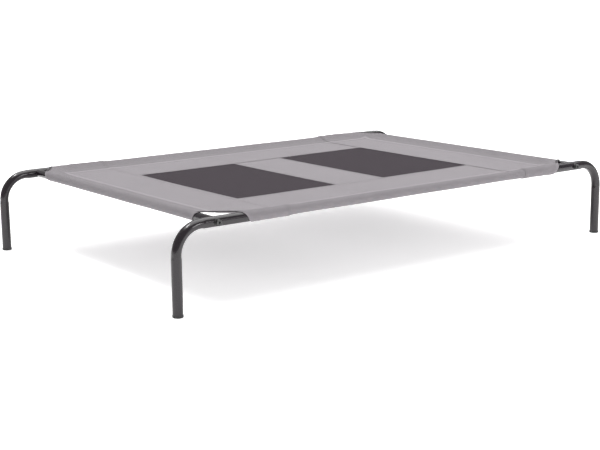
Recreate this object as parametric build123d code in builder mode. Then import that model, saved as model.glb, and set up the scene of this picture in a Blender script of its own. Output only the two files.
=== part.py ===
from build123d import *
import os

# Raised dog bed: a sewn deck stretched over a knock-down frame of round steel tube.
# +X runs along the long side, +Y across the bed and +Z up. The origin is on the floor,
# midway between the four legs. All lengths are in millimetres.

# Overall sizes, over the tubes
LENGTH = 1300.0
WIDTH = 825.0
HEIGHT = 196.0

# Legs: one bent tube each, a post below and an arm along the long side
LEG_D = 22.5
LEG_WALL = 1.5
BEND_R = 60.0  # centre line of the bend
BEND_SQUEEZE = 0.9  # how far each side of the bend is pressed in, in the plane of the bend
BEND_BULGE = 0.5  # how far the bend bulges across that plane
BEND_BLEND = 6.0  # length over which the round tube turns oval
ARM_END_X = 368.0  # the arm's open end

# Long rails and cross bars
RAIL_D = 19.2
RAIL_WALL = 1.2
RAIL_INSERTION = 60.0  # how far a rail slides into an arm
BAR_X = 545.0  # centre line of the cross bars
COPE_GAP = 0.05  # between a coped bar end and the arm

# Corner fasteners: an M8 low-head screw through the arm into a nut plug in the bar's end
SCREW_D = 7.9
SCREW_LENGTH = 40.0
SCREW_HOLE_D = 8.4
HEAD_D = 13.0
HEAD_H = 5.0
SOCKET_AF = 5.0  # across the flats
SOCKET_DEPTH = 2.8
WASHER_D = 16.0
WASHER_CREST = 1.6  # washer thickness where the arm comes furthest out
WASHER_GAP = 0.02
NUT_PLUG_LENGTH = 22.0
NUT_PLUG_CLEARANCE = 0.05
NUT_BORE_D = 8.0

# Foot caps
CAP_D = 23.6
CAP_SOLE = 5.0
CAP_ROUND = 1.6
CAP_PLUG_D = 18.6
CAP_PLUG_WALL = 1.8
CAP_PLUG_LENGTH = 20.0
CAP_RIB_D = 19.4
CAP_RIB_T = 1.2
CAP_RIB_PITCH = 4.5
CAP_RIBS = 4

# Deck: cut pieces sewn edge to edge, with a loop round each tube
CLOTH = 1.0
LOOP_GAP = 0.2  # between a loop and its tube
DECK_DROP = 1.75  # the deck's mid-plane below the tubes' centre lines
SEAM_INSET = 50.0  # from a tube's centre line to the line that closes its loop
LOOP_TIP = 6.0  # the closed end of a loop, where both layers are sewn together
CORNER_CUT_X = 62.0  # each corner is cut off from this far along the arm, at its crown,
CORNER_CUT_Y = 56.0  # to this far along the bar, both from where the tubes' centre lines cross
TAPE = 0.8  # thickness of the tape sewn along the cut
TAPE_WIDTH = 8.0
PANEL_INNER_X = 75.0
PANEL_OUTER_X = 358.0
PANEL_Y = 212.0

LEG_R = LEG_D / 2
RAIL_R = RAIL_D / 2
LEG_X = LENGTH / 2 - LEG_R
LEG_Y = WIDTH / 2 - LEG_R
TUBE_Z = HEIGHT - LEG_R
BEND_Z = TUBE_Z - BEND_R
SCREW_Y = LEG_Y + LEG_R + WASHER_CREST  # underside of the screw head
SIDES = {"left": -1, "right": 1}
ENDS = {"front": -1, "back": 1}


def leg_run(sx, sy, inset, start_z):
    """The solid run of a leg's tube, inset from its outer wall, from start_z to the arm's end."""
    x, y = sx * LEG_X, sy * LEG_Y
    radius = LEG_R - inset
    oval = (radius - BEND_SQUEEZE, radius + BEND_BULGE)
    bend_centre = (x - sx * BEND_R, y, BEND_Z)
    bend_top = Plane(origin=(x - sx * BEND_R, y, TUBE_Z), x_dir=(0, 0, 1), z_dir=(-sx, 0, 0))
    with BuildPart() as run:
        with BuildSketch(Plane((x, y, start_z))):
            Circle(radius)
        extrude(amount=BEND_Z - BEND_BLEND - start_z)
        with BuildSketch(Plane((x, y, BEND_Z - BEND_BLEND))):
            Circle(radius)
        with BuildSketch(Plane((x, y, BEND_Z))):
            Ellipse(*oval)
        loft()
        with BuildSketch(Plane((x, y, BEND_Z))):
            Ellipse(*oval)
        revolve(axis=Axis(bend_centre, (0, -sx, 0)), revolution_arc=90)
        with BuildSketch(bend_top):
            Ellipse(*oval)
        with BuildSketch(bend_top.offset(BEND_BLEND)):
            Circle(radius)
        loft()
        with BuildSketch(bend_top.offset(BEND_BLEND)):
            Circle(radius)
        extrude(amount=LEG_X - BEND_R - BEND_BLEND - ARM_END_X)
    return run.part


def leg(sx, sy):
    """A post, a bend and an arm in one tube, drilled across the arm for the corner screw."""
    with BuildPart() as tube:
        add(leg_run(sx, sy, 0, CAP_SOLE))
        add(leg_run(sx, sy, LEG_WALL, CAP_SOLE), mode=Mode.SUBTRACT)
        with BuildSketch(Plane(origin=(sx * BAR_X, sy * LEG_Y, TUBE_Z), z_dir=(0, 1, 0))):
            Circle(SCREW_HOLE_D / 2)
        extrude(amount=LEG_D, both=True, mode=Mode.SUBTRACT)
    return tube


def long_rail(sy):
    """A straight tube whose ends slide into the arms of two legs."""
    with BuildPart() as tube:
        with BuildSketch(Plane(origin=(0, sy * LEG_Y, TUBE_Z), z_dir=(1, 0, 0))):
            Circle(RAIL_R)
            Circle(RAIL_R - RAIL_WALL, mode=Mode.SUBTRACT)
        extrude(amount=ARM_END_X + RAIL_INSERTION, both=True)
    return tube


def cope_tool(sy):
    """The space an arm takes, with the gap left round it at a coped end."""
    with BuildPart() as arm:
        with BuildSketch(Plane(origin=(0, sy * LEG_Y, TUBE_Z), z_dir=(1, 0, 0))):
            Circle(LEG_R + COPE_GAP)
        extrude(amount=LENGTH / 2, both=True)
    return arm.part


def cross_bar(sx):
    """A straight tube with both ends coped to sit against the arms."""
    with BuildPart() as tube:
        with BuildSketch(Plane(origin=(sx * BAR_X, 0, TUBE_Z), z_dir=(0, 1, 0))):
            Circle(RAIL_R)
            Circle(RAIL_R - RAIL_WALL, mode=Mode.SUBTRACT)
        extrude(amount=LEG_Y, both=True)
        for sy in ENDS.values():
            add(cope_tool(sy), mode=Mode.SUBTRACT)
        # Coping can leave loose crumbs beyond the arm; the bar is the longest solid.
        bar = tube.part.solids().sort_by(SortBy.VOLUME)[-1]
        add(bar, mode=Mode.REPLACE)
    return tube


def nut_plug(sx, sy):
    """A threaded plug pressed into a cross bar's end, coped with it."""
    plug_r = RAIL_R - RAIL_WALL - NUT_PLUG_CLEARANCE
    inner_y = LEG_Y - LEG_R - NUT_PLUG_LENGTH
    with BuildPart() as plug:
        with BuildSketch(Plane(origin=(sx * BAR_X, sy * inner_y, TUBE_Z), z_dir=(0, sy, 0))):
            Circle(plug_r)
            Circle(NUT_BORE_D / 2, mode=Mode.SUBTRACT)
        extrude(amount=NUT_PLUG_LENGTH + LEG_R)
        add(cope_tool(sy), mode=Mode.SUBTRACT)
        body = plug.part.solids().sort_by(SortBy.VOLUME)[-1]
        add(body, mode=Mode.REPLACE)
    return plug


def corner_screw(sx, sy):
    """A low-head socket screw, its head outside the arm and its shank in the nut plug."""
    seat = Plane(origin=(sx * BAR_X, sy * SCREW_Y, TUBE_Z), z_dir=(0, sy, 0))
    with BuildPart() as screw:
        with BuildSketch(seat):
            Circle(HEAD_D / 2)
        extrude(amount=HEAD_H)
        rim = screw.edges().filter_by(GeomType.CIRCLE).sort_by(Axis.Y)[-1 if sy > 0 else 0]
        fillet(rim, 0.8)
        with BuildSketch(seat.offset(HEAD_H - SOCKET_DEPTH)):
            RegularPolygon(SOCKET_AF / 2, 6, major_radius=False)
        extrude(amount=SOCKET_DEPTH + 1, mode=Mode.SUBTRACT)
        with BuildSketch(seat):
            Circle(SCREW_D / 2)
        extrude(amount=-SCREW_LENGTH)
        tip = screw.edges().filter_by(GeomType.CIRCLE).sort_by(Axis.Y)[0 if sy > 0 else -1]
        chamfer(tip, 0.9)
    return screw


def saddle_washer(sx, sy):
    """A round washer, flat under the screw head and hollowed to sit on the arm."""
    seat = Plane(origin=(sx * BAR_X, sy * SCREW_Y, TUBE_Z), z_dir=(0, sy, 0))
    with BuildPart() as washer:
        with BuildSketch(seat):
            Circle(WASHER_D / 2)
            Circle(SCREW_HOLE_D / 2, mode=Mode.SUBTRACT)
        extrude(amount=-(WASHER_CREST + LEG_R / 2))
        with BuildSketch(Plane(origin=(sx * BAR_X, sy * LEG_Y, TUBE_Z), z_dir=(1, 0, 0))):
            Circle(LEG_R + WASHER_GAP)
        extrude(amount=WASHER_D, both=True, mode=Mode.SUBTRACT)
        rim = washer.edges().filter_by(GeomType.CIRCLE).group_by(Axis.Y)[-1 if sy > 0 else 0]
        chamfer(rim.sort_by(SortBy.RADIUS)[-1], 0.5)
    return washer


def foot_cap(sx, sy):
    """A plastic cap: a sole under the tube and a hollow ribbed plug up inside it."""
    base = Plane((sx * LEG_X, sy * LEG_Y, 0))
    rib_step = Plane((sx * LEG_X, sy * LEG_Y, CAP_SOLE + CAP_RIB_PITCH / 2))
    with BuildPart() as cap:
        with BuildSketch(base):
            Circle(CAP_D / 2)
        extrude(amount=CAP_SOLE)
        fillet(cap.edges().filter_by(GeomType.CIRCLE).sort_by(Axis.Z)[0], CAP_ROUND)
        with BuildSketch(base.offset(CAP_SOLE)):
            Circle(CAP_PLUG_D / 2)
        extrude(amount=CAP_PLUG_LENGTH)
        for rib in range(CAP_RIBS):
            with BuildSketch(rib_step.offset(rib * CAP_RIB_PITCH)):
                Circle(CAP_RIB_D / 2)
            extrude(amount=CAP_RIB_T)
        with BuildSketch(base.offset(CAP_SOLE)):
            Circle(CAP_PLUG_D / 2 - CAP_PLUG_WALL)
        extrude(amount=CAP_PLUG_LENGTH, mode=Mode.SUBTRACT)
    return cap


def teardrop(radius, tip_x, half_tip):
    """A circle drawn in along +X to a blunt tip at the deck's level."""
    with BuildSketch() as outline:
        with BuildLine():
            CenterArc((0, 0), radius, 0, 360)
            Line((tip_x, half_tip - DECK_DROP), (tip_x, -half_tip - DECK_DROP))
        make_hull()
    return outline.sketch


def loop_profile(plane, tube_r, deck_reach):
    """A loop of cloth round a tube and the deck beyond it. The plane's origin is the tube's
    centre, its X axis points into the bed and its Y axis points up. The deck runs in to
    deck_reach from the tube's centre."""
    inner = tube_r + LOOP_GAP
    with BuildSketch(plane) as profile:
        add(teardrop(inner + CLOTH, SEAM_INSET, CLOTH))
        with Locations((SEAM_INSET, -DECK_DROP)):
            Rectangle(deck_reach - SEAM_INSET, CLOTH, align=(Align.MIN, Align.CENTER))
        add(teardrop(inner, SEAM_INSET - LOOP_TIP, LOOP_GAP / 2), mode=Mode.SUBTRACT)
    return profile.sketch


def tape_profile(plane, tube_r):
    """The tape's section on top of a loop, from the tube's crown in to the deck."""
    loop = teardrop(tube_r + LOOP_GAP + CLOTH, SEAM_INSET, CLOTH)
    reach = SEAM_INSET + TAPE_WIDTH
    with BuildSketch(plane) as profile:
        offset(loop, TAPE)
        with Locations((0, CLOTH / 2 - DECK_DROP)):
            Rectangle(reach, TAPE, align=(Align.MIN, Align.MIN))
            Rectangle(reach, LEG_D, align=(Align.MIN, Align.MIN), mode=Mode.INTERSECT)
        add(loop, mode=Mode.SUBTRACT)
    return profile.sketch


def long_side_plane(sy, x):
    """The section plane at x for a loop on a long side, facing into the bed."""
    return Plane(origin=(x, sy * LEG_Y, TUBE_Z), x_dir=(0, -sy, 0), z_dir=(-sy, 0, 0))


def cross_bar_plane(sx, y):
    """The section plane at y for a loop on a cross bar, facing into the bed."""
    return Plane(origin=(sx * BAR_X, y, TUBE_Z), x_dir=(-sx, 0, 0), z_dir=(0, sx, 0))


def corner_cut(sx, sy):
    """The space outside the diagonal line where a corner of the deck is cut off."""
    on_arm = Vector(sx * (BAR_X - CORNER_CUT_X), sy * LEG_Y)
    on_bar = Vector(sx * BAR_X, sy * (LEG_Y - CORNER_CUT_Y))
    along = (on_bar - on_arm) * 2
    outward = Vector(sx, sy) * CORNER_CUT_X * 2
    start = on_arm - along
    end = on_bar + along
    with BuildPart() as outside:
        with BuildSketch():
            with BuildLine():
                Polyline(start, end, end + outward, start + outward, close=True)
            make_face()
        extrude(amount=2 * HEIGHT)
    return outside.part


def end_piece(sx):
    """One end of the deck, with loops for the cross bar and for both arms. The bar's loop runs
    a little past the arm loops' seams, so that they join over a face. The corners are cut off
    on the diagonal, so that the tubes meet in the open."""
    bar_loop = loop_profile(cross_bar_plane(sx, 0), RAIL_R, BAR_X - PANEL_OUTER_X)
    arm_loops = [
        loop_profile(long_side_plane(sy, sx * PANEL_OUTER_X), LEG_R, SEAM_INSET + CLOTH)
        for sy in ENDS.values()
    ]
    corners = [corner_cut(sx, sy) for sy in ENDS.values()]
    with BuildPart() as cloth:
        extrude(bar_loop, amount=LEG_Y - SEAM_INSET + CLOTH, both=True)
        for arm_loop in arm_loops:
            extrude(arm_loop, amount=BAR_X - SEAM_INSET - PANEL_OUTER_X, dir=(sx, 0, 0))
        for corner in corners:
            add(corner, mode=Mode.SUBTRACT)
    return cloth


def corner_tape(sx, sy):
    """The tape round a corner's cut-away, on top of the cloth, from the bar's crown to the
    arm's."""
    on_bar = tape_profile(cross_bar_plane(sx, sy * (LEG_Y - SEAM_INSET)), RAIL_R)
    on_arm = tape_profile(long_side_plane(sy, sx * (BAR_X - SEAM_INSET)), LEG_R)
    corner = corner_cut(sx, sy)
    with BuildPart() as tape:
        extrude(on_bar, amount=TAPE_WIDTH, dir=(0, -sy, 0))
        extrude(on_arm, amount=TAPE_WIDTH, dir=(-sx, 0, 0))
        add(corner, mode=Mode.SUBTRACT)
    return tape


def side_piece(sy):
    """The strip of deck beside the mesh panels, with its loop round a long rail."""
    rail_loop = loop_profile(long_side_plane(sy, 0), RAIL_R, LEG_Y - PANEL_Y)
    with BuildPart() as cloth:
        extrude(rail_loop, amount=PANEL_OUTER_X, both=True)
    return cloth


def flat_piece(low_x, high_x):
    """A flat piece of the deck between the side pieces."""
    with BuildPart() as cloth:
        with BuildSketch(Plane((0, 0, TUBE_Z - DECK_DROP - CLOTH / 2))):
            with Locations(((low_x + high_x) / 2, 0)):
                Rectangle(high_x - low_x, 2 * PANEL_Y)
        extrude(amount=CLOTH)
    return cloth


def save(piece, name):
    """Labels a finished piece and writes it as its own STEP file."""
    piece.part.label = name
    export_step(piece.part, f"parts/{name}.step")


os.makedirs("parts", exist_ok=True)
for end, sy in ENDS.items():
    save(long_rail(sy), f"long_rail_{end}")
    save(side_piece(sy), f"deck_side_{end}")
for side, sx in SIDES.items():
    save(cross_bar(sx), f"cross_bar_{side}")
    save(end_piece(sx), f"deck_end_{side}")
    inner_x, outer_x = sorted((sx * PANEL_INNER_X, sx * PANEL_OUTER_X))
    save(flat_piece(inner_x, outer_x), f"mesh_panel_{side}")
    for end, sy in ENDS.items():
        corner = f"{end}_{side}"
        save(leg(sx, sy), f"leg_{corner}")
        save(foot_cap(sx, sy), f"foot_cap_{corner}")
        save(nut_plug(sx, sy), f"nut_plug_{corner}")
        save(corner_screw(sx, sy), f"corner_screw_{corner}")
        save(saddle_washer(sx, sy), f"saddle_washer_{corner}")
        save(corner_tape(sx, sy), f"corner_tape_{corner}")
save(flat_piece(-PANEL_INNER_X, PANEL_INNER_X), "deck_centre")
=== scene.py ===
"""A raised dog bed: the looks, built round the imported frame.

Lengths are in metres in the frame's axes: +X along the long side, +Y across the bed, +Z up.
The cover is laid out flat first. A flat point (x, y) lies on the deck under or over the same
x and y, and past a tube's crown it counts the length of cloth round the tube and back to the
seam that closes the sleeve. on_cover() takes flat points to their places in space.
"""
import math

import bpy
import numpy as np
from mathutils import Euler, Matrix, Vector


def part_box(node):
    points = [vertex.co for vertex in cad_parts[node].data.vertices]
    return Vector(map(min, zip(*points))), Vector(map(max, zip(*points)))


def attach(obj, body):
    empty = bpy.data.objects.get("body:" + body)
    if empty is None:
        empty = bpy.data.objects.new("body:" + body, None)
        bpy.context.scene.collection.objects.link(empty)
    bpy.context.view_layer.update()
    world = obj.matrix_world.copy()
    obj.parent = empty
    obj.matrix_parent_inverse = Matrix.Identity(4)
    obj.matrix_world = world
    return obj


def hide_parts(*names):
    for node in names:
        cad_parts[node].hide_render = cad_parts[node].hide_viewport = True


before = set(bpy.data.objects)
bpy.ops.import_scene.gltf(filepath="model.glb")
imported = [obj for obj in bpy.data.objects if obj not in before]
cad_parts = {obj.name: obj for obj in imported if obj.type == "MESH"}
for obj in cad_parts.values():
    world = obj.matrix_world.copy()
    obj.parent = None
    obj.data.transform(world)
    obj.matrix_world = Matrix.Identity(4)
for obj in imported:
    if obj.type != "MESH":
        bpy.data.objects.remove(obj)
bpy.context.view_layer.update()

# ---------------------------------------------------------------- sizes read from the frame
rail_low, rail_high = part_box("long_rail_back")
bar_low, bar_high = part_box("cross_bar_right")
leg_low, leg_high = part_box("leg_back_right")
panel_low, panel_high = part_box("mesh_panel_right")
deck_low, deck_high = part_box("deck_centre")
TUBE_Z = (rail_low.z + rail_high.z) / 2
RAIL_R = (rail_high.z - rail_low.z) / 2
ARM_R = leg_high.z - TUBE_Z
ARM_Y = (rail_low.y + rail_high.y) / 2
ARM_END_X = leg_low.x
BAR_X = (bar_low.x + bar_high.x) / 2
DECK_DROP = TUBE_Z - (deck_low.z + deck_high.z) / 2
PANEL_IN = panel_low.x
PANEL_OUT = panel_high.x
PANEL_Y = panel_high.y

# ---------------------------------------------------------------- the cover
CLOTH = 0.0006
TUBE_GAP = 0.0003
SEAM_INSET = 0.052  # from a tube's centre line in to the seam that closes its sleeve
HEM = 0.008
LAP = 0.010  # how far two sewn pieces overlap
LAP_TAPER = 0.003  # over which a lap comes down to the cloth beside it
CENTRE_LAP_RISE = 0.0005
SIDE_LAP_RISE = 0.0008
END_LAP_RISE = 0.0010
SLEEVE_LAP_RISE = 0.0006
DECK_SAG = 0.0021  # at the middle of the deck, which hangs lower towards its left end
SLEEVE_SLACK = 0.0022  # how far a sleeve's top hangs under the line from crown to seam
RIDGE = 0.0018  # height of the closing seams' doubled edge
ARM_BLEND = 0.035  # how far in along the rail the cloth tapers from the arm's open end
CUT_RADIUS = 0.25  # the corners are cut off along shallow arcs
CUT_LIFT_REACH = 0.055  # how far in from the cut its taut edge holds the deck up
UNDER_CUT = 0.034  # how much further the cloth under the tubes is cut back
UNDER_DROP = DECK_DROP + 1.6 * CLOTH  # of a sleeve's under layer at its closing seam
UNEVENNESS = 0.00022  # the deck's slow rises and dips
PUCKER = 0.00018  # height of the ripple beside stitches
PUCKER_PITCH = 0.011
PUCKER_REACH = 0.009
HEM_RISE = 0.0004  # of the cut corners' hems

# Where each arc crosses the crown of the arm and that of the bar, in from where they cross
CORNER_CUTS = {
    ("left", "front"): (0.062, 0.057),
    ("right", "front"): (0.054, 0.044),
    ("left", "back"): (0.034, 0.049),
    ("right", "back"): (0.045, 0.051),
}
SIDES = {"left": -1, "right": 1}
ENDS = {"front": -1, "back": 1}

# Slanting folds on the long sides' sleeves: end, middle and spread along the side, the
# folds' pitch and height, and how much faster they repeat round the tube than along it
FOLDS = (
    ("front", 0.455, 0.045, 0.036, 0.0014, 2.8),
    ("front", 0.345, 0.030, 0.044, 0.0010, -3.2),
    ("front", -0.430, 0.030, 0.030, 0.0007, -2.0),
    ("back", 0.415, 0.045, 0.030, 0.0015, 1.9),
    ("back", -0.450, 0.040, 0.030, 0.0009, 1.8),
)

STITCH_PITCH = 0.0034
STITCH_LENGTH = 0.0027
THREAD_R = 0.00028
LAP_ROWS = (0.0022, 0.0078)  # in from a lap's edge to its two rows of stitches
SEAM_ROWS = (0, 0.006)  # in from a closing seam to its two rows
CUT_ROW = 0.0046  # in from a cut edge to its row
TAPE_WIDTH = 0.006  # on each face of the cloth
TAPE_THICKNESS = 0.0004
TAPE_PAST_ARM = -0.004  # where the tape ends, out from each crown
TAPE_PAST_BAR = 0.001
SEAM_X = BAR_X - SEAM_INSET
SEAM_Y = ARM_Y - SEAM_INSET


def smooth(values, low, high):
    """0 below low, 1 above high and an even S between them."""
    share = np.clip((values - low) / (high - low), 0, 1)
    return share * share * (3 - 2 * share)


def cloth_radius(tube_radius):
    return tube_radius + TUBE_GAP + CLOTH / 2


def side_radius(x):
    """The cloth's radius along a long side: the rail's, then the arm's."""
    on_arm = smooth(np.abs(x), ARM_END_X - ARM_BLEND, ARM_END_X + 0.004)
    return cloth_radius(RAIL_R + (ARM_R - RAIL_R) * on_arm)


def height_inside(inward, radius):
    """Height over the tube's centre line of the taut cloth on the bed's side of the crown."""
    reach = math.hypot(SEAM_INSET, DECK_DROP)
    lean = np.arcsin(radius / reach) + math.atan(DECK_DROP / SEAM_INSET)
    touch = radius * np.sin(lean)
    circle = np.sqrt(np.maximum(radius**2 - inward**2, 0))
    straight = radius * np.cos(lean) - (inward - touch) * np.tan(lean)
    share = np.clip((inward - touch) / (SEAM_INSET - touch), 0, 1)
    slack = SLEEVE_SLACK * np.sin(math.pi * share) ** 2
    over = np.where(inward < touch, circle, straight - slack) + DECK_DROP
    return (over + np.sqrt(over**2 + 0.0007**2)) / 2 - DECK_DROP


def around_tube(past, radius):
    """Offsets outward and up from the tube's centre line of cloth that has gone past the
    crown: round the tube, back under it to the closing seam, and on as a hem."""
    reach = math.hypot(SEAM_INSET, UNDER_DROP)
    lean = np.arcsin(radius / reach) - math.atan(UNDER_DROP / SEAM_INSET)
    arc = radius * (math.pi + lean)
    straight = np.sqrt(reach**2 - radius**2)
    angle = np.minimum(past, arc) / radius
    back = np.clip(past - arc, 0, straight)
    hem = np.maximum(past - arc - straight, 0)
    outward = radius * np.sin(angle) - back * np.cos(lean) - hem
    up = radius * np.cos(angle) + back * np.sin(lean)
    return outward, up


def sleeve_length(radius):
    """The length of cloth from a tube's crown to the end of the hem under the deck."""
    reach = math.hypot(SEAM_INSET, UNDER_DROP)
    lean = math.asin(radius / reach) - math.atan(UNDER_DROP / SEAM_INSET)
    return radius * (math.pi + lean) + math.sqrt(reach**2 - radius**2) + HEM


def cut_circle(on_arm, on_bar):
    """The centre of a corner's cut arc, in flat lengths outward from the bed's middle."""
    start = np.array((BAR_X - on_arm, ARM_Y))
    end = np.array((BAR_X, ARM_Y - on_bar))
    outward = np.array((on_bar, on_arm)) / math.hypot(on_arm, on_bar)
    half = math.hypot(on_arm, on_bar) / 2
    return (start + end) / 2 + outward * math.sqrt(CUT_RADIUS**2 - half**2)


def cut_centres(flat):
    """The cut arc's centre in each flat point's own corner, with that corner's signs."""
    centres = np.zeros_like(flat)
    for (side, end), insets in CORNER_CUTS.items():
        signs = np.array((SIDES[side], ENDS[end]))
        own = np.all((flat * signs >= 0), axis=1)
        centres[own] = cut_circle(*insets) * signs
    return centres


def under_cut(flat):
    """How much further the cut reaches in at each flat point, which is more under a tube."""
    past = np.maximum(np.abs(flat[:, 0]) - BAR_X, np.abs(flat[:, 1]) - ARM_Y)
    return UNDER_CUT * smooth(past, 0.026, 0.055)


def cut_room(flat):
    """How far each flat point is inside the cover's cut corners."""
    to_centre = np.linalg.norm(flat - cut_centres(flat), axis=1)
    return to_centre - CUT_RADIUS - under_cut(flat)


def deck_height(flat):
    """Height over the tubes' centre lines of the cloth between the crowns."""
    x, y = np.abs(flat[:, 0]), np.abs(flat[:, 1])
    arm_top = side_radius(x)
    bar_top = cloth_radius(RAIL_R)
    by_arm = (height_inside(ARM_Y - y, arm_top) + DECK_DROP) / (arm_top + DECK_DROP)
    by_bar = (height_inside(BAR_X - x, bar_top) + DECK_DROP) / (bar_top + DECK_DROP)
    by_cut = 1 - smooth(cut_room(flat), 0, CUT_LIFT_REACH)
    to_bar = np.clip((y - x - (ARM_Y - BAR_X) + 0.06) / 0.12, 0, 1)
    cut_top = bar_top + (arm_top - bar_top) * to_bar
    raised = 1 - (1 - by_arm) * (1 - by_bar) * (1 - by_cut)
    total = by_arm + by_bar + by_cut + 1e-9
    top = (by_arm * arm_top + by_bar * bar_top + by_cut * cut_top) / total
    lean_left = 1 - 0.9 * flat[:, 0] / PANEL_OUT
    window = np.maximum(1 - (x / BAR_X) ** 2, 0) * np.maximum(1 - (y / ARM_Y) ** 2, 0)
    sag = DECK_SAG * window * lean_left * (1 - raised)
    return raised * (top + DECK_DROP) - DECK_DROP - sag


def on_surface(flat):
    """The smooth cover's place in space at each flat point."""
    x, y = np.abs(flat[:, 0]), np.abs(flat[:, 1])
    sign_x, sign_y = np.sign(flat[:, 0]), np.sign(flat[:, 1])
    bar_out, bar_up = around_tube(np.maximum(x - BAR_X, 0), cloth_radius(RAIL_R))
    arm_out, arm_up = around_tube(np.maximum(y - ARM_Y, 0), side_radius(x))
    inside = np.stack((np.minimum(x, BAR_X) * sign_x, np.minimum(y, ARM_Y) * sign_y), 1)
    up = deck_height(inside)
    up = np.where(y > ARM_Y, arm_up, up)
    up = np.where(x > BAR_X, bar_up, up)
    place_x = np.where(x > BAR_X, BAR_X + bar_out, x) * sign_x
    place_y = np.where(y > ARM_Y, ARM_Y + arm_out, y) * sign_y
    return np.stack((place_x, place_y, TUBE_Z + up), 1)


def surface_normals(flat):
    inward = np.where(flat > 0, -0.0004, 0.0004)
    along_x, along_y = flat.copy(), flat.copy()
    along_x[:, 0] += inward[:, 0]
    along_y[:, 1] += inward[:, 1]
    here = on_surface(flat)
    edge_x = (on_surface(along_x) - here) * np.sign(inward[:, :1])
    edge_y = (on_surface(along_y) - here) * np.sign(inward[:, 1:])
    normals = np.cross(edge_x, edge_y)
    return normals / np.linalg.norm(normals, axis=1, keepdims=True)


def pucker(distance, along):
    """The ripple that a row of stitches draws up in cloth beside it."""
    ripple = np.sin(along * 2 * math.pi / PUCKER_PITCH + 2 * np.sin(along * 37))
    return PUCKER * ripple * np.exp(-((distance / PUCKER_REACH) ** 2))


def gather(flat, centre, spread, pitch, height, slant):
    """Slanting folds on a long side's sleeve, fading out to both sides of centre. They only
    stand up from the cloth, because the tube is right under it."""
    past = np.abs(flat[:, 1]) - ARM_Y
    along = flat[:, 0] + slant * past
    fade = np.exp(-(((flat[:, 0] - centre) / spread) ** 2))
    wander = np.sin(flat[:, 0] * 90 + past * 60)
    folds = (1 + np.sin(along * 2 * math.pi / pitch + wander)) / 2
    on_sleeve = smooth(past, -0.03, -0.005) * (1 - smooth(past, 0.03, 0.045))
    return height * folds * fade * on_sleeve


def seam_distance(flat):
    """How far each flat point is inside the nearest closing seam. Negative on a sleeve."""
    x, y = np.abs(flat[:, 0]), np.abs(flat[:, 1])
    return np.minimum(SEAM_X - x, SEAM_Y - y)


def ridge_shape(flat):
    """1 along the doubled edge beside each closing seam, falling to 0 on both sides."""
    inside = seam_distance(flat)
    return smooth(inside, -0.0055, -0.001) * (1 - smooth(inside, 0.0035, 0.005))


def tone(flat):
    """Painted shade and painted highlights on the cloth: -1 of painted shade where it is doubled
    round a tube, less of it near the cut corners' hems, a painted highlight up to 2.2 on the
    raised edges beside its closing seams, and a faint painted shadow beside the panels' laps."""
    # painted shade over each sleeve where the cloth is doubled round its tube, lifted near the
    # cut corners' hems as a painted highlight
    doubled = 1 - smooth(seam_distance(flat), -0.006, 0.0)
    hem = 1 - smooth(cut_room(flat), 0.004, 0.008)
    past_panel = np.abs(flat[:, 0]) - PANEL_OUT
    lap = smooth(past_panel, -0.001, 0.001) - smooth(past_panel, LAP, LAP + 0.002)
    # painted highlight along the closing seams' raised edges, and a faint painted shadow beside
    # the panels' laps
    return -doubled * (1 - hem * 0.9) + ridge_shape(flat) * 2.2 - 0.25 * lap


def relief(flat):
    """Small height changes over the whole cover: puckers, folds and unevenness."""
    x, y = flat[:, 0], flat[:, 1]
    far_x, far_y = np.abs(x), np.abs(y)
    height = UNEVENNESS * np.sin(x * 23 + 1.3 * np.sin(y * 11)) * np.sin(y * 19 + np.sin(x * 13))
    height += pucker(far_x - PANEL_OUT, y)
    height += pucker(far_y - PANEL_Y, x) * (far_x < PANEL_OUT)
    height += pucker(far_x - PANEL_IN, y) * (far_y < PANEL_Y)
    height += pucker(SEAM_X - far_x, y)
    height += pucker(SEAM_Y - far_y, x)
    height += HEM_RISE * (1 - smooth(cut_room(flat), 0.005, 0.008))
    height += RIDGE * ridge_shape(flat)
    for end, *fold in FOLDS:
        height += gather(flat, *fold) * (y * ENDS[end] > 0)
    return height


def on_cover(flat, rise):
    """Places in space of flat points on the cover, raised by rise along its normals."""
    height = np.asarray(rise + relief(flat)).reshape(-1, 1)
    return on_surface(flat) + surface_normals(flat) * height


# ---------------------------------------------------------------- flat cutting
def grid_lines(*stops):
    """Lines through each (place, step) stop, spaced by about that step up to the next."""
    lines = []
    for (low, step), (high, _) in zip(stops, stops[1:]):
        count = max(1, round((high - low) / step))
        lines.extend(np.linspace(low, high, count, endpoint=False))
    return np.array(lines + [stops[-1][0]])


def mirrored(lines):
    return np.concatenate((-lines[::-1], lines[lines > 0] if lines[0] == 0 else lines))


def grid(x_lines, y_lines):
    """Flat points and quads over the crossings of the lines."""
    x, y = np.meshgrid(x_lines, y_lines, indexing="ij")
    rows, columns = x.shape
    index = np.arange(rows * columns).reshape(rows, columns)
    corners = (index[:-1, :-1], index[1:, :-1], index[1:, 1:], index[:-1, 1:])
    quads = np.stack([corner.ravel() for corner in corners], 1)
    return np.stack((x.ravel(), y.ravel()), 1), quads


def snap_to_cuts(flat, reach):
    """Moves the points nearest a cut arc onto it, so that trimming leaves no slivers."""
    centres = cut_centres(flat)
    away = flat - centres
    distance = np.linalg.norm(away, axis=1, keepdims=True)
    radius = CUT_RADIUS + under_cut(flat)[:, None]
    near = np.abs(distance - radius) < reach
    return np.where(near, centres + away / distance * radius, flat)


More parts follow.
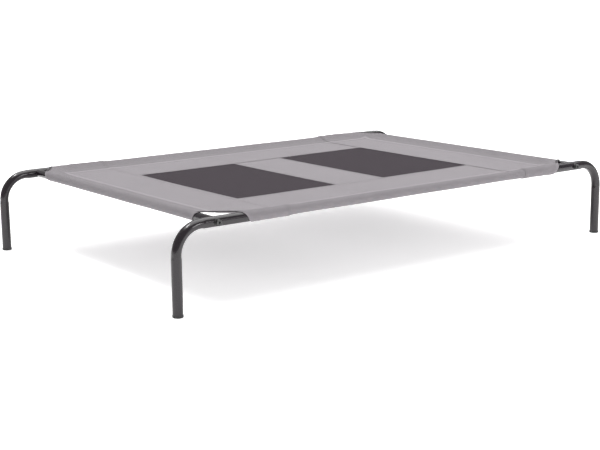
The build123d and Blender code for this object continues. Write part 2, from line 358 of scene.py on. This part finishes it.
def trim_corners(flat, quads):
    """Cuts the quads along the corner arcs and keeps what is inside."""
    flat = snap_to_cuts(flat, 0.0006)
    room = cut_room(flat)
    room[np.abs(room) < 1e-7] = 0
    points, faces, crossings = list(flat), [], {}
    for quad in quads:
        if room[quad].min() >= 0:
            faces.append(tuple(quad))
            continue
        ring = []
        for i, j in zip(quad, np.roll(quad, -1)):
            if room[i] >= 0:
                ring.append(i)
            if room[i] * room[j] < 0:
                key = (min(i, j), max(i, j))
                if key not in crossings:
                    crossings[key] = len(points)
                    share = room[i] / (room[i] - room[j])
                    points.append(flat[i] + share * (flat[j] - flat[i]))
                ring.append(crossings[key])
        if len(ring) > 2:
            faces.append(tuple(ring))
    return np.array(points), faces


def compact(flat, faces):
    """Drops the points that no face uses."""
    used = np.unique(np.concatenate([np.asarray(face) for face in faces]))
    renumbered = np.full(len(flat), -1)
    renumbered[used] = np.arange(len(used))
    return flat[used], [tuple(renumbered[list(face)]) for face in faces]


def flat_area(flat, faces):
    total = 0
    for face in faces:
        x, y = flat[list(face)].T
        total += abs(np.dot(x, np.roll(y, -1)) - np.dot(y, np.roll(x, -1))) / 2
    return float(total)


# ---------------------------------------------------------------- objects
def add_object(name, points, faces, material):
    mesh = bpy.data.meshes.new(name)
    mesh.from_pydata([tuple(p) for p in points], [], [tuple(map(int, f)) for f in faces])
    mesh.shade_smooth()
    mesh.materials.append(material)
    piece = bpy.data.objects.new(name, mesh)
    bpy.context.scene.collection.objects.link(piece)
    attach(piece, "root")
    return piece


def add_flat_map(piece, flat):
    """Keeps each point's flat place as a UV map, so that the weave follows the cloth."""
    mesh = piece.data
    corners = np.zeros(len(mesh.loops), np.int32)
    mesh.loops.foreach_get("vertex_index", corners)
    layer = mesh.uv_layers.new(name="flat")
    layer.data.foreach_set("uv", flat[corners].astype(np.float32).ravel())


def add_painted_shading(piece, values):
    """Keeps the cloth's painted shade and painted highlights for its material to read."""
    layer = piece.data.attributes.new("tone", "FLOAT", "POINT")
    layer.data.foreach_set("value", values.astype(np.float32))


def thicken(piece, thickness):
    """Gives a sheet its thickness, half to each side."""
    shell = piece.modifiers.new("thickness", "SOLIDIFY")
    shell.thickness = thickness
    shell.offset = 0
    shell.use_even_offset = True


def cloth_piece(name, x_lines, y_lines, rise, material, node, trimmed=False):
    """A cut piece of the cover. rise is a function from flat points to their height over the
    cover's mean surface. Returns the piece with its flat size and area."""
    flat, faces = grid(x_lines, y_lines)
    if trimmed:
        flat, faces = compact(*trim_corners(flat, faces))
    points = on_cover(flat, rise(flat))
    piece = add_object(name, points, faces, material)
    add_flat_map(piece, flat)
    add_painted_shading(piece, tone(flat))
    thicken(piece, CLOTH)
    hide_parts(node)
    size = tuple(float(v) for v in np.ptp(flat, axis=0))
    return piece, size, flat_area(flat, faces)


def resample(path, pitch):
    """Points along a flat path every pitch, by its length in space."""
    steps = np.linalg.norm(np.diff(on_surface(path), axis=0), axis=1)
    lengths = np.concatenate(((0,), np.cumsum(steps)))
    marks = np.arange(pitch / 2, lengths[-1], pitch)
    return np.stack([np.interp(marks, lengths, path[:, k]) for k in range(2)], 1)


def stitch_faces(start, count, rings, sides):
    """The faces of count stitches whose points begin at start: round the sides of each from
    ring to ring, and over both ends."""

    def corner(ring, side):
        return start + (ring * sides + side % sides) * count + np.arange(count)

    faces = []
    for ring in range(rings - 1):
        for side in range(sides):
            quad = (
                corner(ring, side),
                corner(ring, side + 1),
                corner(ring + 1, side + 1),
                corner(ring + 1, side),
            )
            faces.extend(np.stack(quad, 1).tolist())
    for ring in (0, rings - 1):
        cap = [corner(ring, side) for side in range(sides)]
        faces.extend(np.stack(cap[:: 1 if ring else -1], 1).tolist())
    return faces


def stitch_rows(name, rows, material):
    """Short raised stitches along flat paths. rows holds (path, rise) pairs."""
    shares = np.array((-0.5, -0.32, 0.32, 0.5))
    widths = np.array((0.35, 1.0, 1.0, 0.35))
    turns = np.arange(5) * 2 * math.pi / 5
    points, faces, start = [], [], 0
    for path, rise in rows:
        middles = resample(path, STITCH_PITCH)
        directions = np.gradient(on_surface(middles), axis=0)
        directions /= np.linalg.norm(directions, axis=1, keepdims=True)
        normals = surface_normals(middles)
        across = np.cross(normals, directions)
        centres = on_cover(middles, rise)
        for share, width in zip(shares, widths):
            ring_centre = centres + directions * share * STITCH_LENGTH
            for turn in turns:
                offset = across * math.cos(turn) * 1.3 + normals * math.sin(turn)
                points.append(ring_centre + offset * THREAD_R * width)
        faces.extend(stitch_faces(start, len(middles), len(shares), len(turns)))
        start += len(shares) * len(turns) * len(middles)
    return add_object(name, np.concatenate(points), faces, material)


def line(start, end, count=200):
    return np.linspace(start, end, count)


def cut_path(side, end, inward, past_arm, past_bar):
    """A flat path that follows a corner's cut at a distance in from it, from past the arm's
    crown to past the bar's."""
    centre = cut_circle(*CORNER_CUTS[side, end])
    radius = CUT_RADIUS + inward
    first = math.asin((ARM_Y + past_arm - centre[1]) / radius)
    last = math.acos((BAR_X + past_bar - centre[0]) / radius)
    low = math.pi - first
    high = 2 * math.pi - last
    angles = np.linspace(low, high, 160)
    points = centre + radius * np.stack((np.cos(angles), np.sin(angles)), 1)
    return points * (SIDES[side], ENDS[end])


# ---------------------------------------------------------------- materials
class Value:
    """A node's output that takes part in sums."""

    def __init__(self, tree, socket):
        self.tree = tree
        self.socket = socket

    def calculate(self, operation, *others):
        node = self.tree.nodes.new("ShaderNodeMath")
        node.operation = operation
        self.tree.links.new(self.socket, node.inputs[0])
        for slot, other in enumerate(others, 1):
            if isinstance(other, Value):
                self.tree.links.new(other.socket, node.inputs[slot])
            else:
                node.inputs[slot].default_value = other
        return Value(self.tree, node.outputs[0])

    def __add__(self, other):
        return self.calculate("ADD", other)

    def __sub__(self, other):
        return self.calculate("SUBTRACT", other)

    def __mul__(self, other):
        return self.calculate("MULTIPLY", other)

    def fraction(self):
        return self.calculate("FRACT")

    def whole(self):
        return self.calculate("FLOOR")


class Finish:
    """A material with one principled shader and short ways to feed it."""

    def __init__(self, name, roughness, metallic=0.0, sheen=0.0, specular=0.5):
        self.material = bpy.data.materials.new(name)
        self.material.use_nodes = True
        self.tree = self.material.node_tree
        self.shader = self.tree.nodes["Principled BSDF"]
        self.shader.inputs["Roughness"].default_value = roughness
        self.shader.inputs["Metallic"].default_value = metallic
        self.shader.inputs["Specular IOR Level"].default_value = specular
        self.shader.inputs["Sheen Weight"].default_value = sheen
        self.shader.inputs["Sheen Roughness"].default_value = 0.4

    def node(self, kind, **inputs):
        node = self.tree.nodes.new(kind)
        for name, value in inputs.items():
            node.inputs[name].default_value = value
        return node

    def value(self, socket):
        return Value(self.tree, socket)

    def place(self):
        """The point on the object, in metres."""
        return self.node("ShaderNodeTexCoord").outputs["Object"]

    def noise(self, scale, detail=3.0, stretch=(1, 1, 1), flat=False):
        """Noise from 0 to 1 over the object, or over the cloth's flat map."""
        where = self.tree.nodes.new("ShaderNodeMapping")
        where.inputs["Scale"].default_value = stretch
        source = self.flat_map() if flat else self.place()
        self.tree.links.new(source, where.inputs["Vector"])
        node = self.node("ShaderNodeTexNoise", Scale=scale, Detail=detail)
        self.tree.links.new(where.outputs["Vector"], node.inputs["Vector"])
        return self.value(node.outputs["Fac"])

    def flat_map(self):
        node = self.tree.nodes.new("ShaderNodeUVMap")
        node.uv_map = "flat"
        return node.outputs["UV"]

    # reads the cloth's painted shade and painted highlights from the mesh
    def tone(self):
        node = self.tree.nodes.new("ShaderNodeAttribute")
        node.attribute_name = "tone"
        return self.value(node.outputs["Fac"])

    def flat_axes(self, scale):
        """The two flat coordinates times scale."""
        parts = self.tree.nodes.new("ShaderNodeSeparateXYZ")
        self.tree.links.new(self.flat_map(), parts.inputs[0])
        return [self.value(parts.outputs[k]) * scale for k in (0, 1)]

    def colours(self, share, stops):
        """A colour ramp over share. stops holds (place, colour) pairs."""
        ramp = self.tree.nodes.new("ShaderNodeValToRGB")
        elements = ramp.color_ramp.elements
        while len(elements) < len(stops):
            elements.new(0.5)
        for element, (place, colour) in zip(elements, stops):
            element.position = place
            element.color = (*colour, 1)
        self.tree.links.new(share.socket, ramp.inputs[0])
        return ramp.outputs["Color"]

    def set_colour(self, socket):
        self.tree.links.new(socket, self.shader.inputs["Base Color"])

    def set_roughness(self, share, low, high):
        rough = share * (high - low) + low
        self.tree.links.new(rough.socket, self.shader.inputs["Roughness"])

    def set_bump(self, height, distance, strength=1.0):
        bump = self.node("ShaderNodeBump", Strength=strength, Distance=distance)
        self.tree.links.new(height.socket, bump.inputs["Height"])
        self.tree.links.new(bump.outputs["Normal"], self.shader.inputs["Normal"])


def grey(value, violet=0.0):
    """A grey that leans towards violet by a share."""
    return (value * (1 + violet), value * (1 - violet), value * (1 + violet * 0.7))


def woven(name, dark, light, pitch, roughness, slub, sheen, violet):
    """Plain-woven cloth: threads pass over and under each other in both directions."""
    finish = Finish(name, roughness, sheen=sheen, specular=0.2)
    across, along = finish.flat_axes(1 / pitch)
    u, v = across.fraction() - 0.5, along.fraction() - 0.5
    over = ((across.whole() + along.whole()) * 0.5).fraction() * 2
    warp = u * u * -4 + 1
    weft = v * v * -4 + 1
    thread = warp * over + weft * (over * -1 + 1)
    slubs = finish.noise(900, 4, (1, 0.12, 1), flat=True)
    slubs_across = finish.noise(900, 4, (0.12, 1, 1), flat=True)
    patches = finish.noise(7, 3, flat=True)
    fibre = slubs * over + slubs_across * (over * -1 + 1)
    # thread adds painted shade: each thread is painted darker towards its edges, in the weave's
    # hollows; fibre and patches are the yarn's own tone
    share = thread * 0.30 + fibre * slub + patches * 0.12 + (0.35 - slub / 2)
    # painted shading from the mesh: darker over the sleeves, lighter on the seams' raised edges
    # and the hems, a faint shadow beside the laps
    share = share + finish.tone() * 0.15
    stops = ((0.15, grey(dark, violet)), (0.9, grey(light, violet)))
    finish.set_colour(finish.colours(share, stops))
    finish.set_roughness(fibre, roughness - 0.08, roughness + 0.1)
    finish.set_bump(thread + fibre * 0.6, pitch * 0.35, 0.8)
    return finish.material


def open_mesh(name, dark, light, pitch, violet):
    """Knitted mesh: a grid of cords round small holes that read nearly black."""
    finish = Finish(name, 0.85, specular=0.12)
    across, along = finish.flat_axes(1 / pitch)
    shifted = across + (along.whole() * 0.5).fraction()
    u, v = shifted.fraction() - 0.5, along.fraction() - 0.5
    from_middle = (u * u + v * v).calculate("SQRT")
    cord = from_middle.calculate("SMOOTH_MIN", 0.36, 0.06) * 2.6
    fuzz = finish.noise(1400, 3, flat=True)
    patches = finish.noise(9, 3, flat=True)
    # cord paints shade: the holes and the cords' sides are painted nearly black for the shade
    # seen into them; fuzz and patches are the cord's own tone
    share = cord + fuzz * 0.25 + patches * 0.1 - 0.2
    stops = ((0.25, grey(dark, violet)), (0.75, grey(light, violet)))
    finish.set_colour(finish.colours(share, stops))
    finish.set_bump(cord + fuzz * 0.3, pitch * 0.4, 0.9)
    return finish.material


def powder_coat():
    """Satin black powder coat: orange peel, fine light specks and faint scuffs."""
    finish = Finish("powder_coat", 0.35, specular=0.5)
    peel = finish.noise(650, 2)
    fine = finish.noise(2600, 2)
    scuffs = finish.noise(60, 6, (1, 1, 0.25))
    specks = fine.calculate("GREATER_THAN", 0.62)
    worn = scuffs.calculate("SMOOTH_MAX", 0.62, 0.05) - 0.62
    share = peel * 0.35 + specks * 0.5 + worn
    stops = ((0.1, grey(0.004, 0.25)), (0.9, grey(0.020, 0.25)))
    finish.set_colour(finish.colours(share, stops))
    finish.set_roughness(peel * 0.6 + specks * 0.3 + worn, 0.13, 0.27)
    finish.set_bump(peel + fine * 0.3, 0.00016, 0.3)
    return finish.material


def moulded(name, dark, light, roughness):
    """Moulded plastic with a fine grain and a little dust in it."""
    finish = Finish(name, roughness)
    grain = finish.noise(3000, 2)
    dust = finish.noise(90, 5)
    stops = ((0.3, (dark,) * 3), (0.8, (light,) * 3))
    finish.set_colour(finish.colours(grain * 0.4 + dust * 0.6, stops))
    finish.set_roughness(dust, roughness - 0.08, roughness + 0.12)
    finish.set_bump(grain, 0.0002, 0.5)
    return finish.material


def plated(name, dark, light, roughness, metallic):
    """Metal with brushed streaks and a few worn spots."""
    finish = Finish(name, roughness, metallic=metallic)
    streaks = finish.noise(700, 3, (1, 6, 1))
    spots = finish.noise(300, 5)
    stops = ((0.25, (dark,) * 3), (0.8, (light,) * 3))
    finish.set_colour(finish.colours(streaks * 0.5 + spots * 0.5, stops))
    finish.set_roughness(spots, roughness - 0.08, roughness + 0.14)
    finish.set_bump(streaks, 0.0001, 0.4)
    return finish.material


CLOTH_FINISH = woven(
    "deck_weave",
    dark=0.125,
    light=0.33,
    pitch=0.0009,
    roughness=0.8,
    slub=0.3,
    sheen=0.06,
    violet=0.034,
)
TAPE_FINISH = woven(
    "tape_weave",
    dark=0.03,
    light=0.08,
    pitch=0.0007,
    roughness=0.7,
    slub=0.25,
    sheen=0.05,
    violet=0.04,
)
THREAD_FINISH = woven(
    "thread_twist",
    dark=0.16,
    light=0.28,
    pitch=0.0004,
    roughness=0.6,
    slub=0.3,
    sheen=0.1,
    violet=0.03,
)
MESH_FINISH = open_mesh("panel_mesh", dark=0.008, light=0.045, pitch=0.0016, violet=0.1)

NODE_FINISHES = {
    "leg_": powder_coat(),
    "long_rail_": powder_coat(),
    "cross_bar_": powder_coat(),
    "foot_cap_": moulded("foot_plastic", dark=0.012, light=0.032, roughness=0.5),
    "saddle_washer_": moulded("washer_plastic", dark=0.01, light=0.028, roughness=0.45),
    "corner_screw_": plated("black_oxide", dark=0.03, light=0.09, roughness=0.32, metallic=0.8),
    "nut_plug_": plated("zinc_plate", dark=0.45, light=0.62, roughness=0.3, metallic=1.0),
}


def finish_nodes():
    for name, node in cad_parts.items():
        for start, material in NODE_FINISHES.items():
            if name.startswith(start):
                node.data.materials.clear()
                node.data.materials.append(material)


# ---------------------------------------------------------------- the cover's pieces
BAR_END = BAR_X + sleeve_length(cloth_radius(RAIL_R))
ARM_END = ARM_Y + sleeve_length(cloth_radius(ARM_R))
RAIL_END = ARM_Y + sleeve_length(cloth_radius(RAIL_R))
TUBE_STEP = 0.0022


def end_lap_rise(y):
    """The lap is flattened where it goes round the tubes."""
    on_sleeve = smooth(np.abs(y), SEAM_Y, ARM_Y - SEAM_INSET / 2)
    return END_LAP_RISE + (SLEEVE_LAP_RISE - END_LAP_RISE) * on_sleeve


def end_lap(flat):
    past = smooth(np.abs(flat[:, 0]), PANEL_OUT + LAP, PANEL_OUT + LAP + LAP_TAPER)
    return end_lap_rise(flat[:, 1]) * (1 - past)


def side_lap(flat):
    past = smooth(np.abs(flat[:, 1]), PANEL_Y + LAP, PANEL_Y + LAP + LAP_TAPER)
    return SIDE_LAP_RISE * (1 - past)


def centre_lap(flat):
    start = PANEL_IN - LAP
    return CENTRE_LAP_RISE * smooth(np.abs(flat[:, 0]), start - LAP_TAPER, start)


def no_rise(flat):
    return np.zeros(len(flat))


def end_cloth(side):
    """One end of the cover, with its sleeves for the cross bar and both arms."""
    x = grid_lines(
        (PANEL_OUT, 0.002),
        (PANEL_OUT + 0.016, 0.003),
        (SEAM_X - 0.01, TUBE_STEP),
        (BAR_END, 0),
    )
    y = mirrored(
        grid_lines(
            (0, 0.006),
            (ARM_Y - 0.12, 0.003),
            (SEAM_Y - 0.01, TUBE_STEP),
            (ARM_END, 0),
        )
    )
    x_lines = x if side == "right" else -x[::-1]
    return cloth_piece(
        f"cover_end_{side}", x_lines, y, end_lap, CLOTH_FINISH,
        f"deck_end_{side}", trimmed=True,
    )


def side_cloth(end):
    """The strip along a long side, with its sleeve for the rail."""
    y = grid_lines(
        (PANEL_Y, 0.002),
        (PANEL_Y + 0.016, 0.005),
        (SEAM_Y - 0.01, TUBE_STEP),
        (RAIL_END, 0),
    )
    x = grid_lines((-PANEL_OUT - LAP, 0.004), (PANEL_OUT + LAP, 0))
    y_lines = y if end == "back" else -y[::-1]
    return cloth_piece(
        f"cover_side_{end}", x, y_lines, side_lap, CLOTH_FINISH,
        f"deck_side_{end}",
    )


def centre_cloth():
    x = mirrored(grid_lines((0, 0.005), (PANEL_IN - 0.02, 0.002), (PANEL_IN, 0)))
    y = grid_lines((-PANEL_Y - LAP, 0.005), (PANEL_Y + LAP, 0))
    return cloth_piece(
        "cover_centre", x, y, centre_lap, CLOTH_FINISH, "deck_centre"
    )


def mesh_panel(side):
    x = grid_lines((PANEL_IN - LAP, 0.004), (PANEL_OUT + LAP, 0))
    y = grid_lines((-PANEL_Y - LAP, 0.004), (PANEL_Y + LAP, 0))
    x_lines = x if side == "right" else -x[::-1]
    return cloth_piece(
        f"mesh_{side}", x_lines, y, no_rise, MESH_FINISH, f"mesh_panel_{side}"
    )


def edge_tape(side, end):
    """The binding folded over a corner's cut edge, from the bar's crown to just short of the
    arm's. Returns it with its flat size."""
    half_gap = CLOTH / 2 + TAPE_THICKNESS
    turns = np.linspace(math.pi / 2, -math.pi / 2, 7)
    inward = [TAPE_WIDTH * share for share in (1, 0.66, 0.33)]
    section = [(w, half_gap) for w in inward]
    section += [(-half_gap * math.cos(t), half_gap * math.sin(t)) for t in turns]
    section += [(w, -half_gap) for w in inward[::-1]]
    rows, flats = [], []
    run = 0.0
    for w, height in section:
        path = cut_path(side, end, w, TAPE_PAST_ARM, TAPE_PAST_BAR)
        rows.append(on_cover(path, 0.0) + surface_normals(path) * height)
    rows = np.array(rows)
    for k, row in enumerate(rows):
        if k:
            run += float(np.linalg.norm(row - rows[k - 1], axis=1).mean())
        steps = np.linalg.norm(np.diff(row, axis=0), axis=1)
        length = np.concatenate(((0,), np.cumsum(steps)))
        flats.append(np.stack((np.full(len(row), run), length), 1))
    _, quads = grid(np.arange(len(section)), np.arange(rows.shape[1]))
    if SIDES[side] * ENDS[end] < 0:
        quads = quads[:, ::-1]
    tape = add_object(f"tape_{end}_{side}", rows.reshape(-1, 3), quads, TAPE_FINISH)
    add_flat_map(tape, np.concatenate(flats))
    thicken(tape, TAPE_THICKNESS)
    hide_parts(f"corner_tape_{end}_{side}")
    return tape, (run, float(flats[0][-1, 1]))


def end_stitches(side):
    """Rows along the lap, the sleeves' closing seams and the hems of the cut corners."""
    sign = SIDES[side]
    on_lap = SLEEVE_LAP_RISE + CLOTH / 2
    on_cloth = CLOTH / 2
    rows = []
    for inset in LAP_ROWS:
        x = sign * (PANEL_OUT + inset)
        rows.append((line((x, -ARM_Y - 0.03), (x, ARM_Y + 0.03), 400), on_lap))
    for step in SEAM_ROWS:
        x = sign * (SEAM_X - step)
        rows.append((line((x, -SEAM_Y), (x, SEAM_Y)), on_cloth))
        for y_sign in ENDS.values():
            y = y_sign * (SEAM_Y - step)
            start, stop = (sign * (PANEL_OUT + LAP), y), (sign * (SEAM_X - step), y)
            rows.append((line(start, stop), on_cloth))
    for end in ENDS:
        rows.append((cut_path(side, end, CUT_ROW, 0.03, 0.028), on_cloth + 0.0002))
    return stitch_rows(f"thread_end_{side}", rows, THREAD_FINISH)


def side_stitches(end):
    sign = ENDS[end]
    rows = []
    for inset in LAP_ROWS:
        y = sign * (PANEL_Y + inset)
        rows.append((line((-PANEL_OUT, y), (PANEL_OUT, y)), SIDE_LAP_RISE + CLOTH / 2))
    for step in SEAM_ROWS:
        y = sign * (SEAM_Y - step)
        rows.append((line((-PANEL_OUT, y), (PANEL_OUT, y)), CLOTH / 2))
    return stitch_rows(f"thread_side_{end}", rows, THREAD_FINISH)


def centre_stitches():
    rows = []
    for sign in SIDES.values():
        for inset in LAP_ROWS:
            x = sign * (PANEL_IN - inset)
            path = line((x, -PANEL_Y), (x, PANEL_Y))
            rows.append((path, CENTRE_LAP_RISE + CLOTH / 2))
    return stitch_rows("thread_centre", rows, THREAD_FINISH)


def build_cover():
    for side in SIDES:
        cloth, size, area = end_cloth(side)
        thread = end_stitches(side)
        mesh, size, _ = mesh_panel(side)
        for end in ENDS:
            tape, size = edge_tape(side, end)
    for end in ENDS:
        cloth, size, _ = side_cloth(end)
        thread = side_stitches(end)
    cloth, size, _ = centre_cloth()
    thread = centre_stitches()


# ---------------------------------------------------------------- the studio
FLOOR_REACH = 40.0
FLOOR_GLOW = 0.5
WORLD_STRENGTH = 0.5
LENS = 75.41
SENSOR_WIDTH = 36
CAMERA_PLACE = (-1.9228, -2.4876, 0.6906)
CAMERA_DOWN = 11.67  # degrees below the horizon
CAMERA_TURN = -37.40  # degrees from +Y
CAMERA_ROLL = -0.57


def studio_floor():
    finish = Finish("studio_floor", 0.9, specular=0.1)
    patches = finish.noise(1.5, 2)
    finish.set_colour(finish.colours(patches, ((0, grey(0.93)), (1, grey(0.95)))))
    finish.shader.inputs["Emission Color"].default_value = (1, 1, 1, 1)
    finish.shader.inputs["Emission Strength"].default_value = FLOOR_GLOW
    size = FLOOR_REACH
    corners = [(-size, -size, 0), (size, -size, 0), (size, size, 0), (-size, size, 0)]
    mesh = bpy.data.meshes.new("floor")
    mesh.from_pydata(corners, [], [(0, 1, 2, 3)])
    mesh.materials.append(finish.material)
    floor = bpy.data.objects.new("floor", mesh)
    bpy.context.scene.collection.objects.link(floor)


def soft_light(name, place, target, size, power):
    light = bpy.data.lights.new(name, "AREA")
    light.shape = "DISK"
    light.size = size
    light.energy = power
    add_lamp(light, place, target)


def add_lamp(light, place, target):
    lamp = bpy.data.objects.new(light.name, light)
    lamp.location = place
    lamp.rotation_euler = (Vector(target) - Vector(place)).to_track_quat("-Z", "Y").to_euler()
    bpy.context.scene.collection.objects.link(lamp)


def studio_light():
    world = bpy.data.worlds.new("studio")
    world.use_nodes = True
    world.node_tree.nodes["Background"].inputs["Color"].default_value = (1, 1, 1, 1)
    world.node_tree.nodes["Background"].inputs["Strength"].default_value = WORLD_STRENGTH
    bpy.context.scene.world = world
    overhead = bpy.data.lights.new("overhead", "SUN")
    overhead.energy = 2.9
    overhead.angle = math.radians(70)
    add_lamp(overhead, (0.8, 0.6, 3.0), (0, 0, 0))
    glint = bpy.data.lights.new("glint", "SUN")
    glint.energy = 0.9
    glint.angle = math.radians(7)
    add_lamp(glint, (-0.4, 0.9, 3.0), (0, 0, 0))
    soft_light("front_fill", (0.9, -3.6, 1.3), (0, 0, 0.15), size=1.0, power=26)


def camera():
    data = bpy.data.cameras.new("camera")
    data.lens = LENS
    data.sensor_width = SENSOR_WIDTH
    data.clip_end = 200
    viewer = bpy.data.objects.new("camera", data)
    down, sideways = math.radians(90 - CAMERA_DOWN), math.radians(CAMERA_TURN)
    turn = Euler((down, 0, sideways)).to_matrix()
    roll = Matrix.Rotation(math.radians(CAMERA_ROLL), 3, "Z")
    viewer.matrix_world = (turn @ roll).to_4x4()
    viewer.location = CAMERA_PLACE
    bpy.context.scene.collection.objects.link(viewer)
    bpy.context.scene.camera = viewer


finish_nodes()
build_cover()
studio_floor()
studio_light()
camera()
bpy.context.scene.view_settings.view_transform = "Standard"
